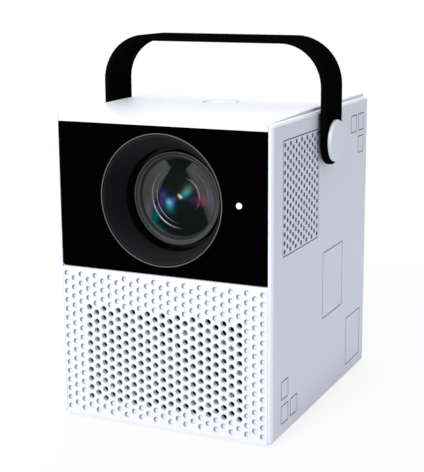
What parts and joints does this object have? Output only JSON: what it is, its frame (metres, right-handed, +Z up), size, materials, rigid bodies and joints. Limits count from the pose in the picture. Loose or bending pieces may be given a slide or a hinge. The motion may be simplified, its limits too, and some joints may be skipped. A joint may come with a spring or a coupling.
{
  "type": "video projector",
  "caption": "Compact upright video projector: lens in a black front window over a perforated speaker grille, with a rigid carrying bail that tilts on side pivots",
  "frame": {"origin": "On the ground, under the middle of the body: the middle of the bounding box's bottom face, level with the undersides of the rubber feet", "axes": "+Z up, +X to the right of a viewer who faces the lens, -Y out of the lens"},
  "size_m": [0.1266, 0.1368, 0.1867],
  "materials": {
    "white_shell": "satin moulded",
    "pale_panel": "fine satin moulded",
    "black_gloss": "polished",
    "black_strap": "fine matte",
    "dark_plastic": "matte moulded",
    "grey_plastic": "satin moulded",
    "silver_trim": "satin",
    "lens_glass": "coated, polished",
    "status_white": "opal",
    "steel": "plain",
    "aluminium": "milled",
    "brass": "turned",
    "rubber": "matte",
    "board_green": "lacquered",
    "acetal": "moulded",
    "paper_cone": "pressed fibre",
    "amber_tape": "taped"
  },
  "bodies": {
    "housing": {"side_panel_left": "pale_panel", "side_panel_right": "pale_panel", "top_cover": "white_shell", "rear_panel": "white_shell", "base_plate": "dark_plastic", "mid_frame": "dark_plastic", "foot_front_left": "rubber", "foot_front_right": "rubber", "foot_rear_left": "rubber", "foot_rear_right": "rubber", "front_window": "black_gloss", "front_grille": "white_shell", "status_window": "status_white", "lens_ring": "silver_trim", "lens_funnel": "dark_plastic", "lens_guide": "dark_plastic", "lens_mount": "grey_plastic", "focus_motor": "steel", "engine_cradle": "dark_plastic", "engine_cover": "dark_plastic", "front_fresnel": "lens_glass", "image_panel": "dark_plastic", "rear_fresnel": "lens_glass", "collimator_lens": "lens_glass", "led_module": "aluminium", "heat_sink": "aluminium", "fan_frame": "dark_plastic", "speaker_frame_left": "steel", "speaker_frame_right": "steel", "speaker_cone_left": "paper_cone", "speaker_cone_right": "paper_cone", "power_board": "board_green", "main_board": "board_green", "transformer": "amber_tape", "hdmi_socket": "steel", "usb_socket": "steel", "audio_jack": "dark_plastic", "power_inlet": "dark_plastic", "button_housing": "grey_plastic", "tact_switch": "dark_plastic", "pivot_bush_left": "acetal", "pivot_bush_right": "acetal"},
    "handle": {"handle_strap": "black_strap", "pivot_cap_left": "pale_panel", "pivot_cap_right": "pale_panel", "pivot_pin_left": "steel", "pivot_pin_right": "steel", "pivot_nut_left": "brass", "pivot_nut_right": "brass"},
    "power_button": {"power_button": "white_shell"},
    "lens": {"lens_barrel": "dark_plastic", "lens_retainer": "grey_plastic", "front_lens": "lens_glass", "inner_lens_ring": "grey_plastic", "inner_lens": "lens_glass", "rear_lens": "lens_glass", "focus_rack": "acetal"},
    "focus_pinion": {"focus_pinion": "acetal"},
    "fan_rotor": {"fan_rotor": "dark_plastic"}
  },
  "joints": [
    {"name": "handle_tilt", "type": "hinge", "parent": "housing", "child": "handle", "pos_m": [0, 0, 0.1364], "axis": [1, 0, 0], "range_deg": [-44, 44]},
    {"name": "button_press", "type": "slide", "parent": "housing", "child": "power_button", "axis": [0, 0, -1], "range_m": [0, 0.0008], "stiffness_N_per_m": 600, "springref_m": -0.0005},
    {"name": "focus_slide", "type": "slide", "parent": "housing", "child": "lens", "axis": [0, -1, 0], "range_m": [-0.0025, 0.0025]},
    {"name": "focus_drive", "type": "hinge", "parent": "housing", "child": "focus_pinion", "pos_m": [0.03085, -0.0208, 0.1117], "axis": [0, 0, 1], "range_deg": [-28.8, 28.8]},
    {"name": "fan_spin", "type": "hinge", "parent": "housing", "child": "fan_rotor", "pos_m": [-0.0514, -0.0324, 0.1161], "axis": [1, 0, 0], "continuous": true}
  ],
  "couplings": [
    {"joint": "focus_drive", "follows": "focus_slide", "rad_per_m": 200}
  ]
}
